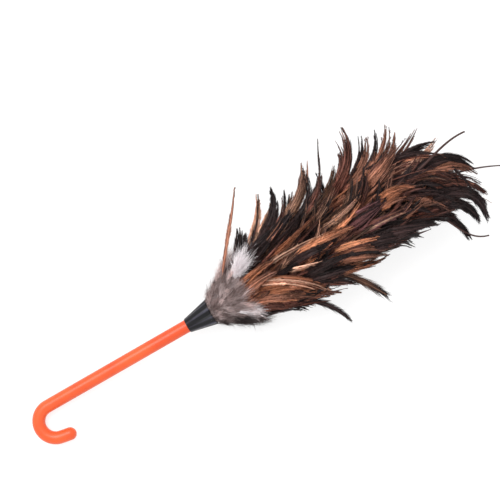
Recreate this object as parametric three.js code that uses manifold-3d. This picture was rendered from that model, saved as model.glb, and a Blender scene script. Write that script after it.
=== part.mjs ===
// A feather duster: a hooked plastic handle, a pleated plastic ferrule, and rings of cock hackles bound to
// a rod. Millimetres. The duster is built along its own axis, x from the hook (-) to the feather tips (+),
// with x = 0 at the ferrule's mouth, +y on the side where the feathers are ruffled and +z up. It is then
// laid down on a level surface, where it rests on its hook and on the flattened underside of its feathers.
import * as THREE from "three";
import { mergeVertices } from "three/addons/utils/BufferGeometryUtils.js";
import Module from "manifold-3d";

const wasm = await Module();
wasm.setup();

// Handle: a plastic tube that turns back on itself as a hook.
const HANDLE_RADIUS = 5.8;
const HANDLE_BORE_RADIUS = 4.4;
const HANDLE_END_X = -16;
const HOOK_START_X = -168.5;
const HOOK_RADIUS = 14.8;
const HOOK_TURN = THREE.MathUtils.degToRad(170);
const HOOK_TIP_LENGTH = 8.5;

// Rod: runs from inside the handle to the last feathers.
const ROD_RADIUS = 4;
const ROD_START_X = -75;
const ROD_END_X = 190;

// Ferrule: a thin cone that slides over the handle's end and covers the first bindings.
const FERRULE_LENGTH = 24.5;
const FERRULE_SMALL_RADIUS = 6.6;
const FERRULE_MOUTH_RADIUS = 11.5;
const FERRULE_WALL = 0.7;
const FERRULE_PLEATS = 12;
const FERRULE_PLEAT_DEPTH = 0.35;

// Feathers: each ring has a sleeve of quills on the rod, a winding of thread over it, and a flared skirt.
const SLEEVE_INNER_RADIUS = 4.3;
const SLEEVE_OUTER_RADIUS = 5.4;
const SLEEVE_LENGTH = 8;
const THREAD_INNER_RADIUS = 5.7;
const THREAD_OUTER_RADIUS = 6.6;
const THREAD_MARGIN = 1;
const THREAD_CLEARANCE = 0.3;
const CORE_RADIUS = 7.2;
const SKIRT_START = 10;
const HACKLE_STATIONS = [SKIRT_START, 24, 44, 66, 88];
const DOWN_STATIONS = [SKIRT_START, 14.5, 18, 26, 38];
const SKIRT_GAP = 1.6;
const DOWN_ROOT_X = -14;
const DOWN_END_X = 40;
const HACKLE_TIERS = 8;
const FIRST_HACKLE_ROOT_X = -6;
const HACKLE_PITCH = 24;
const HACKLE_LENGTH = 105;
const TIP_ROOT_X = 181;
const PLUME_END_X = 260;
const TIP_BEND = 17;

// The plume's half-extents from the rod's axis, as [x, half-extent] knots: to either side, up and down.
// All four start alike, inside the ferrule's mouth.
const PLUME_NECK = [[-8, 8], [0, 10.2], [4, 13.5]];
const RUFFLED_SIDE = [
  ...PLUME_NECK, [22, 27], [54, 49], [97, 66], [140, 74], [180, 79], [215, 63], [240, 44], [260, 20],
];
const SMOOTH_SIDE = [
  ...PLUME_NECK, [22, 26], [54, 29], [97, 38], [140, 38], [180, 33], [215, 33], [240, 30], [260, 16],
];
const TOP_SIDE = [
  ...PLUME_NECK, [22, 25], [54, 34], [97, 42], [140, 45], [180, 43], [215, 37], [240, 28], [260, 16],
];
const UNDER_SIDE = [
  ...PLUME_NECK, [22, 23], [54, 32], [97, 42], [140, 48], [180, 48], [215, 44], [240, 36], [260, 22],
];

// Feathers that stand clear of the plume. Each belongs to one ring, counted from the down, and leaves the
// plume's surface at an x and an angle in degrees, 0 towards the ruffled side and 90 upwards. It is half as
// wide as width says at its root, and goes through the free points after that.
const LONE_FEATHERS = {
  tan_feather: { ring: 1, x: 42, angle: 14, width: 1.8, free: [[65, 70, 12], [73, 84, 14]] },
  spike_feather: { ring: 3, x: 126, angle: 6, width: 1.5, free: [[156, 84, 9]] },
  ruffled_shaft: { ring: 7, x: 222, angle: 44, width: 0.7, free: [[268, 26, 24]] },
  middle_shaft: { ring: 9, x: 254, angle: 30, width: 0.7, free: [[281, -15, 8]] },
  smooth_shaft: { ring: 7, x: 222, angle: 172, width: 0.7, free: [[243, -62, 4]] },
  curled_feather_1: { ring: 1, x: 44, angle: 176, width: 2, free: [[86, -47, 2], [102, -67, 1]] },
  curled_feather_2: { ring: 2, x: 102, angle: 174, width: 2, free: [[127, -54, 3], [139, -63, 2]] },
};
const LONE_ROOT_LENGTH = 8;
const LONE_CLEARANCE = 0.8;
const LONE_TIP_HALF_WIDTH = 0.4;
const LONE_HALF_THICKNESS = 0.5;
const LONE_SIDES = 6;
const LONE_STEPS = 10;

// In the plain, undistorted plume every skirt tip lies on a cylinder this far outside the core.
const PLAIN_DEPTH = 40;

// The duster lies with its nose up, because its feathers are thicker than its handle.
const NOSE_UP = THREE.MathUtils.degToRad(5.6);

const RING_SIDES = 24;
const TUBE_SIDES = 12;
const HOOK_STEPS = 40;

const ORANGE_PLASTIC = new THREE.MeshStandardMaterial({ color: 0xfa744e, roughness: 0.35, metalness: 0 });
const BLACK_PLASTIC = new THREE.MeshStandardMaterial({ color: 0x35343a, roughness: 0.5, metalness: 0 });
const BAMBOO = new THREE.MeshStandardMaterial({ color: 0xc9a66b, roughness: 0.7, metalness: 0 });
const THREAD = new THREE.MeshStandardMaterial({ color: 0xd8d2c4, roughness: 0.9, metalness: 0 });
const GREY_DOWN = new THREE.MeshStandardMaterial({ color: 0x9a8880, roughness: 1, metalness: 0 });
const CHESTNUT_HACKLE = new THREE.MeshStandardMaterial({ color: 0x7a4a34, roughness: 0.6, metalness: 0 });
const BLACK_HACKLE = new THREE.MeshStandardMaterial({ color: 0x2c2628, roughness: 0.5, metalness: 0 });
const TAN_HACKLE = new THREE.MeshStandardMaterial({ color: 0xb98a63, roughness: 0.6, metalness: 0 });

const duster = new THREE.Group();

function addPiece(name, geometry, material) {
  const mesh = new THREE.Mesh(geometry, material);
  mesh.name = name;
  duster.add(mesh);
}

// Solids for joining and cutting.

function toSolid(geometry) {
  const bare = geometry.index ? geometry.toNonIndexed() : geometry.clone();
  bare.deleteAttribute("normal");
  bare.deleteAttribute("uv");
  const merged = mergeVertices(bare, 1e-3);
  const vertProperties = merged.attributes.position.array;
  const triVerts = new Uint32Array(merged.index.array);
  return new wasm.Manifold(new wasm.Mesh({ numProp: 3, vertProperties, triVerts }));
}

function toGeometry(solid) {
  const { vertProperties, triVerts } = solid.getMesh();
  return new THREE.BufferGeometry()
    .setAttribute("position", new THREE.BufferAttribute(vertProperties, 3))
    .setIndex(new THREE.BufferAttribute(triVerts, 1));
}

// Handle tube.

// The handle's centreline, from its end in the ferrule to the hook's tip.
class CrookCurve extends THREE.Curve {
  getPoint(t, target = new THREE.Vector3()) {
    const straight = HANDLE_END_X - HOOK_START_X;
    const bend = HOOK_TURN * HOOK_RADIUS;
    const along = t * (straight + bend + HOOK_TIP_LENGTH);
    if (along < straight) return target.set(HANDLE_END_X - along, 0, 0);
    const angle = Math.min((along - straight) / HOOK_RADIUS, HOOK_TURN);
    const beyond = Math.max(along - straight - bend, 0);
    const x = HOOK_START_X - HOOK_RADIUS * Math.sin(angle) - beyond * Math.cos(angle);
    const y = HOOK_RADIUS * (Math.cos(angle) - 1) - beyond * Math.sin(angle);
    return target.set(x, y, 0);
  }
}

function handleTube() {
  const section = new THREE.Shape().absarc(0, 0, HANDLE_RADIUS, 0, 2 * Math.PI);
  section.holes.push(new THREE.Path().absarc(0, 0, HANDLE_BORE_RADIUS, 0, 2 * Math.PI));
  const crook = new CrookCurve();
  const tube = new THREE.ExtrudeGeometry(section, {
    steps: HOOK_STEPS,
    curveSegments: TUBE_SIDES / 2,
    extrudePath: crook,
  });
  const tip = crook.getPoint(1);
  const roundEnd = new THREE.SphereGeometry(HANDLE_RADIUS, TUBE_SIDES, TUBE_SIDES / 2);
  roundEnd.translate(tip.x, tip.y, tip.z);
  return toGeometry(toSolid(tube).add(toSolid(roundEnd)));
}

// Turned pieces: profiles are closed outlines of [x, radius].

function turned(profile, sides) {
  const points = profile.map(([x, radius]) => new THREE.Vector2(radius, x));
  return new THREE.LatheGeometry(points, sides).rotateZ(-Math.PI / 2);
}

// Moves each vertex to where place(x, radius, angle) says. The angle is 0 towards +y and grows to +z.
function warped(geometry, place) {
  const position = geometry.getAttribute("position");
  for (let i = 0; i < position.count; i += 1) {
    const y = position.getY(i);
    const z = position.getZ(i);
    const spot = place(position.getX(i), Math.hypot(y, z), Math.atan2(z, y));
    position.setXYZ(i, spot.x, spot.y, spot.z);
  }
  return geometry;
}

function coreRod() {
  const length = ROD_END_X - ROD_START_X;
  const rod = new THREE.CylinderGeometry(ROD_RADIUS, ROD_RADIUS, length, TUBE_SIDES);
  return rod.rotateZ(Math.PI / 2).translate((ROD_START_X + ROD_END_X) / 2, 0, 0);
}

function ferruleCone() {
  const slope = (FERRULE_MOUTH_RADIUS - FERRULE_SMALL_RADIUS) / FERRULE_LENGTH;
  const outerAt = (x) => FERRULE_MOUTH_RADIUS + slope * x;
  const stations = [-FERRULE_LENGTH, -FERRULE_LENGTH / 2, 0];
  const outside = stations.map((x) => [x, outerAt(x)]);
  const inside = stations.map((x) => [x, outerAt(x) - FERRULE_WALL]);
  const profile = [...outside, ...inside.reverse(), outside[0]];
  return warped(turned(profile, 4 * FERRULE_PLEATS), (x, radius, angle) => {
    const share = 1 + x / FERRULE_LENGTH;
    const pleated = radius + FERRULE_PLEAT_DEPTH * share * Math.cos(FERRULE_PLEATS * angle);
    return new THREE.Vector3(x, pleated * Math.cos(angle), pleated * Math.sin(angle));
  });
}

function threadBinding(rootX) {
  const from = rootX + THREAD_MARGIN;
  const to = rootX + SLEEVE_LENGTH - THREAD_MARGIN;
  const corners = [
    [from, THREAD_INNER_RADIUS],
    [from, THREAD_OUTER_RADIUS],
    [to, THREAD_OUTER_RADIUS],
    [to, THREAD_INNER_RADIUS],
  ];
  return turned([...corners, corners[0]], TUBE_SIDES);
}

// The plume's shape.

function smoothCurve(knots) {
  const curve = new THREE.CubicInterpolant(knots.map((k) => k[0]), knots.map((k) => k[1]), 1);
  const first = knots[0][0];
  const last = knots[knots.length - 1][0];
  return (x) => curve.evaluate(THREE.MathUtils.clamp(x, first, last))[0];
}

const ruffledExtent = smoothCurve(RUFFLED_SIDE);
const smoothExtent = smoothCurve(SMOOTH_SIDE);
const topExtent = smoothCurve(TOP_SIDE);
const underExtent = smoothCurve(UNDER_SIDE);

// The plume's radius in one direction: quarter ellipses between its four sides.
function plumeRadius(x, angle) {
  const across = Math.cos(angle) / (Math.cos(angle) > 0 ? ruffledExtent(x) : smoothExtent(x));
  const upward = Math.sin(angle) / (Math.sin(angle) > 0 ? topExtent(x) : underExtent(x));
  return 1 / Math.hypot(across, upward);
}

// Turns a point of the plain plume into one of the real, lopsided plume. Nothing changes at the core, and
// two points never meet, so rings that are clear of each other stay so.
function inPlume(x, plainRadius, angle) {
  const share = Math.max(plainRadius - CORE_RADIUS, 0) / PLAIN_DEPTH;
  const radius = Math.min(plainRadius, CORE_RADIUS) + share * (plumeRadius(x, angle) - CORE_RADIUS);
  const pastRod = Math.max(x - ROD_END_X, 0) / (PLUME_END_X - ROD_END_X);
  return new THREE.Vector3(x, radius * Math.cos(angle) - TIP_BEND * pastRod ** 2, radius * Math.sin(angle));
}

// The outside of the feathers that are bound at rootX, in the plain plume. They lie in the skirts of those
// before them, and reach the plume's surface at their tips.
function skirtRadius(x, rootX) {
  const outermostRoot = Math.max(DOWN_ROOT_X, x - HACKLE_LENGTH);
  return CORE_RADIUS + PLAIN_DEPTH * Math.min((x - rootX) / (x - outermostRoot), 1);
}

// Where a skirt's outline has points: the short down needs them closer, at the ferrule's mouth.
function skirtStations(rootX) {
  const stations = rootX === DOWN_ROOT_X ? DOWN_STATIONS : HACKLE_STATIONS;
  return stations.map((along) => rootX + along);
}

const tierNumbers = Array.from({ length: HACKLE_TIERS }, (_, i) => i);
const hackleRoots = tierNumbers.map((i) => FIRST_HACKLE_ROOT_X + i * HACKLE_PITCH);
const roots = [DOWN_ROOT_X, ...hackleRoots, TIP_ROOT_X];

// A ring's outer outline, from its sleeve to the last station before its tip.
function outerOutline(rootX, tipX) {
  const skirt = skirtStations(rootX).filter((x) => x < tipX - SKIRT_START);
  return [
    [rootX, SLEEVE_OUTER_RADIUS],
    [rootX + SLEEVE_LENGTH, SLEEVE_OUTER_RADIUS],
    ...skirt.map((x) => [x, skirtRadius(x, rootX)]),
  ];
}

// A ring's inner outline: on the rod, over the next thread, and then just outside the next skirt.
function innerOutline(rootX, tipX, nextRootX) {
  const overThread = THREAD_OUTER_RADIUS + THREAD_CLEARANCE;
  const skirt = skirtStations(nextRootX).filter((x) => x < tipX - SKIRT_START);
  return [
    [rootX, SLEEVE_INNER_RADIUS],
    [Math.min(rootX + SLEEVE_LENGTH, nextRootX - THREAD_MARGIN), SLEEVE_INNER_RADIUS],
    [nextRootX, overThread],
    [nextRootX + SLEEVE_LENGTH, overThread],
    ...skirt.map((x) => [x, skirtRadius(x, nextRootX) + SKIRT_GAP]),
  ];
}

// Everything under the level surface that the duster lies on, in the duster's own frame.
function tableSolid() {
  const size = 1000;
  const table = new THREE.BoxGeometry(size, size, size).translate(0, 0, -size / 2);
  const lowestX = HOOK_START_X - HOOK_RADIUS;
  table.translate(0, 0, lowestX * Math.sin(NOSE_UP) - HANDLE_RADIUS);
  return toSolid(table.rotateY(NOSE_UP));
}

const table = tableSolid();

function laidDown(geometry) {
  return toGeometry(toSolid(geometry).subtract(table));
}

// A ring of feathers: alternate sides of its rim are drawn back, so that it ends in points.
function featherRing(rootX, tipX, nextRootX) {
  const outside = outerOutline(rootX, tipX);
  const inside = innerOutline(rootX, tipX, nextRootX);
  const rim = (skirtRadius(tipX, rootX) + skirtRadius(tipX, nextRootX) + SKIRT_GAP) / 2;
  const profile = [...outside, [tipX, rim], ...inside.reverse(), outside[0]];
  const notch = (tipX - outside[outside.length - 1][0]) / 2;
  const ring = warped(turned(profile, RING_SIDES), (x, radius, angle) => {
    const side = Math.round((angle / (2 * Math.PI)) * RING_SIDES);
    const drawnBack = x === tipX && side % 2 !== 0;
    return inPlume(drawnBack ? x - notch : x, drawnBack ? radius - SKIRT_GAP : radius, angle);
  });
  return laidDown(ring);
}

// The last feathers close round the rod's end.
function tipTuft() {
  const outside = outerOutline(TIP_ROOT_X, PLUME_END_X);
  const rodClearance = ROD_END_X + 0.5;
  const profile = [
    [rodClearance, 0],
    [rodClearance, SLEEVE_INNER_RADIUS],
    [TIP_ROOT_X, SLEEVE_INNER_RADIUS],
    ...outside,
    [PLUME_END_X, CORE_RADIUS],
    [PLUME_END_X + CORE_RADIUS, 0],
  ];
  return laidDown(warped(turned(profile, RING_SIDES), inPlume));
}

// The line that a lone feather follows: close over its ring's skirt, and then through its free points.
function loneLine({ ring, x, angle, width, free }) {
  const turn = THREE.MathUtils.degToRad(angle);
  const outward = new THREE.Vector3(0, Math.cos(turn), Math.sin(turn));
  const overSkirt = (atX, clearance) => {
    const onSkirt = inPlume(atX, skirtRadius(atX, roots[ring]), turn);
    return onSkirt.addScaledVector(outward, width + clearance);
  };
  return new THREE.CatmullRomCurve3([
    overSkirt(x, LONE_CLEARANCE),
    overSkirt(x + LONE_ROOT_LENGTH, 2 * LONE_CLEARANCE),
    ...free.map((point) => new THREE.Vector3(...point)),
  ]);
}

// A flat, tapering blade along a lone feather's line.
function loneFeather(feather) {
  const line = loneLine(feather);
  const blade = new THREE.CylinderGeometry(1, 1, 1, LONE_SIDES, LONE_STEPS);
  const position = blade.getAttribute("position");
  const up = new THREE.Vector3(0, 0, 1);
  for (let i = 0; i < position.count; i += 1) {
    const along = THREE.MathUtils.clamp(position.getY(i) + 0.5, 0, 1);
    const tangent = line.getTangentAt(along);
    const side = new THREE.Vector3().crossVectors(tangent, up).normalize();
    const normal = new THREE.Vector3().crossVectors(side, tangent);
    const halfWidth = THREE.MathUtils.lerp(feather.width, LONE_TIP_HALF_WIDTH, along);
    const spot = line.getPointAt(along);
    spot.addScaledVector(side, halfWidth * position.getX(i));
    spot.addScaledVector(normal, LONE_HALF_THICKNESS * position.getZ(i));
    position.setXYZ(i, spot.x, spot.y, spot.z);
  }
  return blade;
}

addPiece("handle_tube", handleTube(), ORANGE_PLASTIC);
addPiece("core_rod", coreRod(), BAMBOO);
addPiece("ferrule_cone", ferruleCone(), BLACK_PLASTIC);

addPiece("down_collar", featherRing(DOWN_ROOT_X, DOWN_END_X, FIRST_HACKLE_ROOT_X), GREY_DOWN);
addPiece("down_binding", threadBinding(DOWN_ROOT_X), THREAD);

hackleRoots.forEach((rootX, i) => {
  const tipX = Math.min(rootX + HACKLE_LENGTH, PLUME_END_X - SLEEVE_LENGTH);
  const material = i % 2 === 0 ? CHESTNUT_HACKLE : BLACK_HACKLE;
  addPiece(`hackle_tier_${i + 1}`, featherRing(rootX, tipX, roots[i + 2]), material);
  addPiece(`hackle_binding_${i + 1}`, threadBinding(rootX), THREAD);
});

addPiece("tip_tuft", tipTuft(), BLACK_HACKLE);
addPiece("tip_binding", threadBinding(TIP_ROOT_X), THREAD);

Object.entries(LONE_FEATHERS).forEach(([name, feather]) => {
  addPiece(name, loneFeather(feather), name === "tan_feather" ? TAN_HACKLE : BLACK_HACKLE);
});

// Laid down, with the origin at the bottom centre of the whole.
duster.rotation.y = -NOSE_UP;
const model = new THREE.Group();
model.add(duster);
model.updateMatrixWorld(true);
const extent = new THREE.Box3().setFromObject(model, true);
const middle = extent.getCenter(new THREE.Vector3());
duster.position.set(-middle.x, -middle.y, -extent.min.z);

export default model;
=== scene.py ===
"""A feather duster: the looks around its CAD frame. Metres, in the frame's own axes."""
import math

import bpy
import numpy as np
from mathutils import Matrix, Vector


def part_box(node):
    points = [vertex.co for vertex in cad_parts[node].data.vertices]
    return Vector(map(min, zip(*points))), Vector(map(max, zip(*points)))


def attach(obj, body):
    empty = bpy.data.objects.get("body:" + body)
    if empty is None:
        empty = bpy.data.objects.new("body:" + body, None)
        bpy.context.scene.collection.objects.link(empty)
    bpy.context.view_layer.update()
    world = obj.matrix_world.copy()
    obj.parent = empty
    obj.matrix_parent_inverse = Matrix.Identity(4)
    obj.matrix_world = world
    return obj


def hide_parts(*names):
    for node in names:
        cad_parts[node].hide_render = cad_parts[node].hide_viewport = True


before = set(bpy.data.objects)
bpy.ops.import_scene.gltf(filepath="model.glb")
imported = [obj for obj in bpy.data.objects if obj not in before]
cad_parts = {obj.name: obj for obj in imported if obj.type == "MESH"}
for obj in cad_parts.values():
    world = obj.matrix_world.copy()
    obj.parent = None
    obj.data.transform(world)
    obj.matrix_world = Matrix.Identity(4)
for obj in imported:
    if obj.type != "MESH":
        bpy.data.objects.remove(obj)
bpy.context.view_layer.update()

MM = 0.001
rng = np.random.default_rng(20)

# ---------------------------------------- the duster's own axes

# x runs along the rod from the ferrule's mouth, y across to the ruffled side and z up, as in the CAD.
DOWN_BINDING_X = -10 * MM
TIP_BINDING_X = 185 * MM


def middle(node):
    low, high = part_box(node)
    return np.array((low + high) / 2)


down_middle = middle("down_binding")
AXIS_X = (middle("tip_binding") - down_middle) / (TIP_BINDING_X - DOWN_BINDING_X)
AXIS_Y = np.array((0.0, 1.0, 0.0))
AXIS_Z = np.cross(AXIS_X, AXIS_Y)
AXES = np.stack((AXIS_X, AXIS_Y, AXIS_Z))
MOUTH = down_middle - DOWN_BINDING_X * AXIS_X


def placed(points):
    """Points in the duster's own axes, in the frame's axes."""
    return MOUTH + points @ AXES


# ---------------------------------------- meshes

UP = np.array((0.0, 0.0, 1.0))


def smoothstep(low, high, value):
    share = np.clip((value - low) / (high - low), 0, 1)
    return share * share * (3 - 2 * share)


def unit(vectors):
    return vectors / np.maximum(np.linalg.norm(vectors, axis=-1, keepdims=True), 1e-12)


def mesh_piece(name, points, quads, material, tint=None, stands_for=()):
    """One object from points (n, 3) and quads (m, 4). tint is each point's colour, for the material."""
    mesh = bpy.data.meshes.new(name)
    mesh.vertices.add(len(points))
    mesh.vertices.foreach_set("co", np.asarray(points, np.float32).ravel())
    mesh.loops.add(quads.size)
    mesh.loops.foreach_set("vertex_index", np.asarray(quads, np.int32).ravel())
    mesh.polygons.add(len(quads))
    mesh.polygons.foreach_set("loop_start", np.arange(0, quads.size, 4, dtype=np.int32))
    mesh.update(calc_edges=True)
    mesh.validate()
    mesh.shade_smooth()
    if tint is not None:
        layer = mesh.attributes.new("tint", "FLOAT_COLOR", "POINT")
        rgba = np.concatenate((tint, np.ones((len(tint), 1))), axis=1)
        layer.data.foreach_set("color", rgba.astype(np.float32).ravel())
    mesh.materials.append(material)
    piece = bpy.data.objects.new(name, mesh)
    bpy.context.scene.collection.objects.link(piece)
    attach(piece, "root")
    if stands_for:
        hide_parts(*stands_for)


def joined(parts):
    """Several (points, quads, tint) as one."""
    offset = 0
    quads = []
    for points, own_quads, _ in parts:
        quads.append(own_quads + offset)
        offset += len(points)
    points = np.concatenate([part[0] for part in parts])
    tint = np.concatenate([part[2] for part in parts])
    return points, np.concatenate(quads), tint


def grid_quads(grids, rows, columns):
    """Quads of open grids whose points are ordered grid by grid, row by row, column by column."""
    grid, row, column = np.indices((grids, rows - 1, columns - 1))
    corner = (grid * rows + row) * columns + column
    corners = (corner, corner + 1, corner + columns + 1, corner + columns)
    return np.stack(corners, axis=-1).reshape(-1, 4)


def tube_quads(tubes, stations, sides):
    """Quads of open tubes whose points are ordered tube by tube, station by station, side by side."""
    tube, station, side = np.indices((tubes, stations - 1, sides))
    here = (tube * stations + station) * sides
    after = (side + 1) % sides
    corners = (here + side, here + after, here + sides + after, here + sides + side)
    return np.stack(corners, axis=-1).reshape(-1, 4)


# ---------------------------------------- materials

def linear(red, green, blue):
    """A screen colour (0 to 255) as linear light."""
    share = np.array((red, green, blue)) / 255
    return np.where(share <= 0.04045, share / 12.92, ((share + 0.055) / 1.055) ** 2.4)


def new_material(name, **settings):
    material = bpy.data.materials.new(name)
    material.use_nodes = True
    shader = material.node_tree.nodes["Principled BSDF"]
    for socket, value in settings.items():
        shader.inputs[socket.replace("_", " ")].default_value = value
    return material, material.node_tree, shader


def add_node(tree, kind, **values):
    made = tree.nodes.new(kind)
    for key, value in values.items():
        if key in made.inputs:
            made.inputs[key].default_value = value
        else:
            setattr(made, key, value)
    return made


def tinted_material(name, roughness, scale, strength, specular):
    """Reads each point's tint and draws fine light and dark streaks over it."""
    material, tree, shader = new_material(name, Roughness=roughness, Specular_IOR_Level=specular)
    tint = add_node(tree, "ShaderNodeAttribute", attribute_name="tint")
    place = add_node(tree, "ShaderNodeTexCoord")
    noise = add_node(tree, "ShaderNodeTexNoise", Scale=scale, Detail=3.0)
    tree.links.new(place.outputs["Object"], noise.inputs["Vector"])
    brightness = add_node(tree, "ShaderNodeMapRange")
    brightness.inputs["From Min"].default_value = 0.3
    brightness.inputs["From Max"].default_value = 0.7
    brightness.inputs["To Min"].default_value = 1 - strength
    brightness.inputs["To Max"].default_value = 1 + strength
    tree.links.new(noise.outputs["Fac"], brightness.inputs["Value"])
    scaled = add_node(tree, "ShaderNodeVectorMath", operation="SCALE")
    tree.links.new(tint.outputs["Color"], scaled.inputs[0])
    tree.links.new(brightness.outputs["Result"], scaled.inputs["Scale"])
    tree.links.new(scaled.outputs["Vector"], shader.inputs["Base Color"])
    return material


HACKLE_MATERIAL = tinted_material("hackle", roughness=0.4, scale=500.0, strength=0.08, specular=0.16)
DOWN_MATERIAL = tinted_material("down", roughness=0.95, scale=700.0, strength=0.15, specular=0.2)


def mottled_material(name, dark, light, scale, **settings):
    """A plain coloured surface with a faint mottle between two screen colours."""
    material, tree, shader = new_material(name, **settings)
    place = add_node(tree, "ShaderNodeTexCoord")
    noise = add_node(tree, "ShaderNodeTexNoise", Scale=scale, Detail=4.0)
    tree.links.new(place.outputs["Object"], noise.inputs["Vector"])
    ramp = add_node(tree, "ShaderNodeValToRGB")
    ramp.color_ramp.elements[0].position = 0.35
    ramp.color_ramp.elements[0].color = (*linear(*dark), 1)
    ramp.color_ramp.elements[1].position = 0.65
    ramp.color_ramp.elements[1].color = (*linear(*light), 1)
    tree.links.new(noise.outputs["Fac"], ramp.inputs["Fac"])
    tree.links.new(ramp.outputs["Color"], shader.inputs["Base Color"])
    return material


# ---------------------------------------- handle and ferrule

HANDLE_RADIUS = 5.8 * MM
HANDLE_END_X = -16 * MM
HOOK_START_X = -168.5 * MM
HOOK_RADIUS = 14.8 * MM
HOOK_TURN = math.radians(170)
HOOK_TIP_LENGTH = 8.5 * MM
HANDLE_SIDES = 40
HANDLE_STATIONS = 150
CAP_STATIONS = 10

# Darkest and lightest screen colours of the handle.
ORANGES = ((220, 75, 27), (232, 90, 37))


def crook_point(along):
    """The handle's centreline, along it from its end in the ferrule."""
    straight = HANDLE_END_X - HOOK_START_X
    turn = np.clip((along - straight) / HOOK_RADIUS, 0, HOOK_TURN)
    beyond = np.maximum(along - straight - HOOK_TURN * HOOK_RADIUS, 0)
    bent_x = HOOK_START_X - HOOK_RADIUS * np.sin(turn) - beyond * np.cos(turn)
    x = np.where(along < straight, HANDLE_END_X - along, bent_x)
    y = HOOK_RADIUS * (np.cos(turn) - 1) - beyond * np.sin(turn)
    return np.stack((x, y, np.zeros_like(x)), axis=-1)


def handle():
    """The orange tube with its crook and its rounded end."""
    length = HANDLE_END_X - HOOK_START_X + HOOK_TURN * HOOK_RADIUS + HOOK_TIP_LENGTH
    body = np.linspace(0, length, HANDLE_STATIONS)
    cap_turn = np.linspace(0, math.pi / 2, CAP_STATIONS)[1:]
    along = np.concatenate((body, length + HANDLE_RADIUS * np.sin(cap_turn)))
    radius = np.concatenate((np.full(len(body), HANDLE_RADIUS), HANDLE_RADIUS * np.cos(cap_turn)))
    centre = crook_point(along)
    tangent = unit(crook_point(along + 0.1 * MM) - crook_point(along - 0.1 * MM))
    side = np.cross(UP, tangent)
    around = np.linspace(0, 2 * math.pi, HANDLE_SIDES, endpoint=False)[None, :, None]
    ring = np.cos(around) * side[:, None] + np.sin(around) * UP
    points = placed((centre[:, None] + radius[:, None, None] * ring).reshape(-1, 3))
    quads = tube_quads(1, len(along), HANDLE_SIDES)
    plastic = mottled_material("orange_plastic", *ORANGES, 45.0, Roughness=0.34)
    mesh_piece("handle", points, quads, plastic, stands_for=("handle_tube",))


FERRULE_LENGTH = 24.5 * MM
FERRULE_SMALL_RADIUS = 6.6 * MM
FERRULE_MOUTH_RADIUS = 11.5 * MM
FERRULE_WALL = 0.7 * MM
FERRULE_SIDES = 144
FERRULE_STATIONS = 24
PLEAT_DEPTH = 0.6 * MM

# Screen colours of the valleys and of the painted highlights on the ridges.
PLASTIC = (8, 7, 12)
PLASTIC_HIGHLIGHT = (66, 64, 76)

# Waves that add up to the pleats: how many go round, their share of the depth and their phase.
PLEATS = ((10, 1.0, 0), (5, 0.5, 1), (19, 0.3, 2))


def ferrule():
    """The pleated cone: a closed shell, whose ridges carry a painted highlight that makes them paler than
    its valleys.
    """
    along = np.linspace(-1, 0, FERRULE_STATIONS)
    around = np.linspace(0, 2 * math.pi, FERRULE_SIDES, endpoint=False)
    share = 1 + along
    pleat = sum(size * np.cos(count * around + phase) for count, size, phase in PLEATS)
    depth = PLEAT_DEPTH * share[:, None] ** 1.2 * pleat[None, :]
    growth = FERRULE_MOUTH_RADIUS - FERRULE_SMALL_RADIUS
    outer = FERRULE_SMALL_RADIUS + growth * share[:, None] + depth
    inner = outer - FERRULE_WALL
    radius = np.concatenate((outer, inner[::-1], outer[:1]), axis=0)
    x = np.concatenate((along, along[::-1], along[:1])) * FERRULE_LENGTH
    across = radius * np.cos(around)
    upward = radius * np.sin(around)
    points = np.stack((np.broadcast_to(x[:, None], radius.shape), across, upward), axis=-1)
    near_mouth = np.concatenate((share, 0 * share, share[:1]))[:, None]
    # Painted highlight: the ridges are tinted paler, more so near the mouth, in place of the light they
    # would catch.
    ridge_highlight = smoothstep(0.1, 1.4, pleat) * (0.4 + 0.6 * near_mouth)
    tint = linear(*PLASTIC) + (linear(*PLASTIC_HIGHLIGHT) - linear(*PLASTIC)) * ridge_highlight[..., None]
    material = tinted_material("black_plastic", roughness=0.35, scale=300.0, strength=0.25, specular=0.3)
    quads = tube_quads(1, len(x), FERRULE_SIDES)
    points = placed(points.reshape(-1, 3))
    tint = tint.reshape(-1, 3)
    mesh_piece("ferrule", points, quads, material, tint, stands_for=("ferrule_cone",))


# ---------------------------------------- the plume's shape

OUTLINE_X = np.array((-8, 0, 4, 22, 54, 97, 140, 180, 215, 240, 260)) * MM
RUFFLED_SIDE = np.array((8, 10.2, 13.5, 27, 49, 66, 74, 79, 63, 44, 20)) * MM
SMOOTH_SIDE = np.array((8, 10.2, 13.5, 26, 29, 38, 38, 33, 33, 30, 16)) * MM
TOP_SIDE = np.array((8, 10.2, 13.5, 25, 34, 42, 45, 43, 37, 28, 16)) * MM
UNDER_SIDE = np.array((8, 10.2, 13.5, 23, 32, 42, 48, 48, 44, 36, 22)) * MM
BEND_START = 190 * MM
BEND_LENGTH = 70 * MM
TIP_BEND = 17 * MM
ROD_RADIUS = 5 * MM
BOUND_SHARE = 0.14
SPREAD_ROUNDS = 4


def plume_radius(x, angle):
    """The plume's radius: quarter ellipses between its four sides."""
    ruffled = np.interp(x, OUTLINE_X, RUFFLED_SIDE)
    smooth = np.interp(x, OUTLINE_X, SMOOTH_SIDE)
    top = np.interp(x, OUTLINE_X, TOP_SIDE)
    under = np.interp(x, OUTLINE_X, UNDER_SIDE)
    across = np.where(np.cos(angle) > 0, ruffled, smooth)
    upward = np.where(np.sin(angle) > 0, top, under)
    return 1 / np.hypot(np.cos(angle) / across, np.sin(angle) / upward)


STATIONS = 20
SHARES = np.linspace(0, 1, STATIONS)[None, :]


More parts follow.
